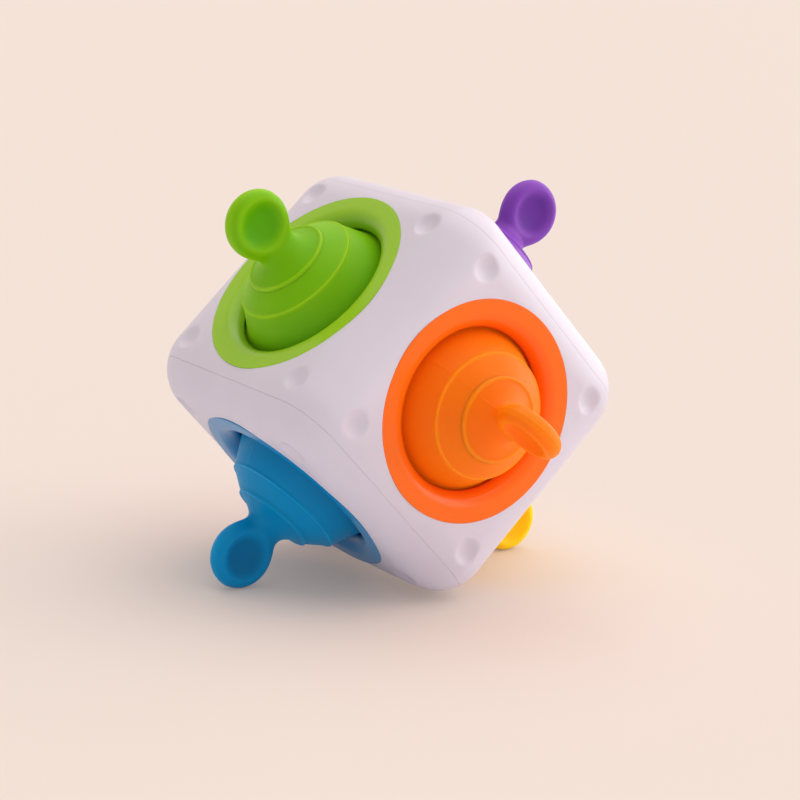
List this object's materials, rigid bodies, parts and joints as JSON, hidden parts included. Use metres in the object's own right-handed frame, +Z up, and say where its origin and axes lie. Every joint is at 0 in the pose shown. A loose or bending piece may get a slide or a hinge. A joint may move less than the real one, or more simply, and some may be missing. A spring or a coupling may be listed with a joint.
{
  "type": "push-and-pull tug cube",
  "caption": "White rounded toy cube with a coloured ring in every face and, in each ring, a ridged silicone tugger whose round tab is pushed in and pulled out.",
  "frame": {"origin": "under the cube's centre, on the plane that the two lowest tabs touch while the cube stands on one of its edges", "axes": "+Z up through the cube's top edge; +Y along the axis of the orange and red tuggers, from the orange face to the red one; +X to the side of the purple and yellow faces"},
  "size_m": [0.1318, 0.177, 0.1317],
  "materials": {
    "shell_plastic": "satin moulded ABS",
    "inner_plastic": "moulded ABS",
    "steel": "zinc-plated",
    "green_plastic": "polished ABS",
    "green_silicone": "satin silicone",
    "purple_plastic": "polished ABS",
    "purple_silicone": "satin silicone",
    "yellow_plastic": "polished ABS",
    "yellow_silicone": "satin silicone",
    "blue_plastic": "polished ABS",
    "blue_silicone": "satin silicone",
    "orange_plastic": "polished ABS",
    "orange_silicone": "satin silicone",
    "red_plastic": "polished ABS",
    "red_silicone": "satin silicone"
  },
  "bodies": {
    "cube": {"shell_body": "shell_plastic", "purple_side_cap": "shell_plastic", "blue_side_cap": "shell_plastic", "green_bezel": "green_plastic", "green_skirt": "green_silicone", "green_clamp_ring": "inner_plastic", "green_screws": "steel", "purple_bezel": "purple_plastic", "purple_skirt": "purple_silicone", "purple_clamp_ring": "inner_plastic", "purple_screws": "steel", "yellow_bezel": "yellow_plastic", "yellow_skirt": "yellow_silicone", "yellow_clamp_ring": "inner_plastic", "yellow_screws": "steel", "blue_bezel": "blue_plastic", "blue_skirt": "blue_silicone", "blue_clamp_ring": "inner_plastic", "blue_screws": "steel", "orange_bezel": "orange_plastic", "orange_skirt": "orange_silicone", "orange_clamp_ring": "inner_plastic", "orange_screws": "steel", "red_bezel": "red_plastic", "red_skirt": "red_silicone", "red_clamp_ring": "inner_plastic", "red_screws": "steel"},
    "green_tug": {"green_tugger": "green_silicone"},
    "purple_tug": {"purple_tugger": "purple_silicone"},
    "yellow_tug": {"yellow_tugger": "yellow_silicone"},
    "blue_tug": {"blue_tugger": "blue_silicone"},
    "orange_tug": {"orange_tugger": "orange_silicone"},
    "red_tug": {"red_tugger": "red_silicone"}
  },
  "joints": [
    {"name": "green_push", "type": "slide", "parent": "cube", "child": "green_tug", "axis": [-0.7071, 0, 0.7071], "range_m": [-0.036, 0.008], "deforming": ["green_skirt"]},
    {"name": "purple_push", "type": "slide", "parent": "cube", "child": "purple_tug", "axis": [0.7071, 0, 0.7071], "range_m": [-0.036, 0.008], "deforming": ["purple_skirt"]},
    {"name": "yellow_push", "type": "slide", "parent": "cube", "child": "yellow_tug", "axis": [0.7071, 0, -0.7071], "range_m": [-0.036, 0.008], "deforming": ["yellow_skirt"]},
    {"name": "blue_push", "type": "slide", "parent": "cube", "child": "blue_tug", "axis": [-0.7071, 0, -0.7071], "range_m": [-0.036, 0.008], "deforming": ["blue_skirt"]},
    {"name": "orange_push", "type": "slide", "parent": "cube", "child": "orange_tug", "axis": [0, -1, 0], "range_m": [-0.036, 0.008], "deforming": ["orange_skirt"]},
    {"name": "red_push", "type": "slide", "parent": "cube", "child": "red_tug", "axis": [0, 1, 0], "range_m": [-0.036, 0.008], "deforming": ["red_skirt"]}
  ]
}
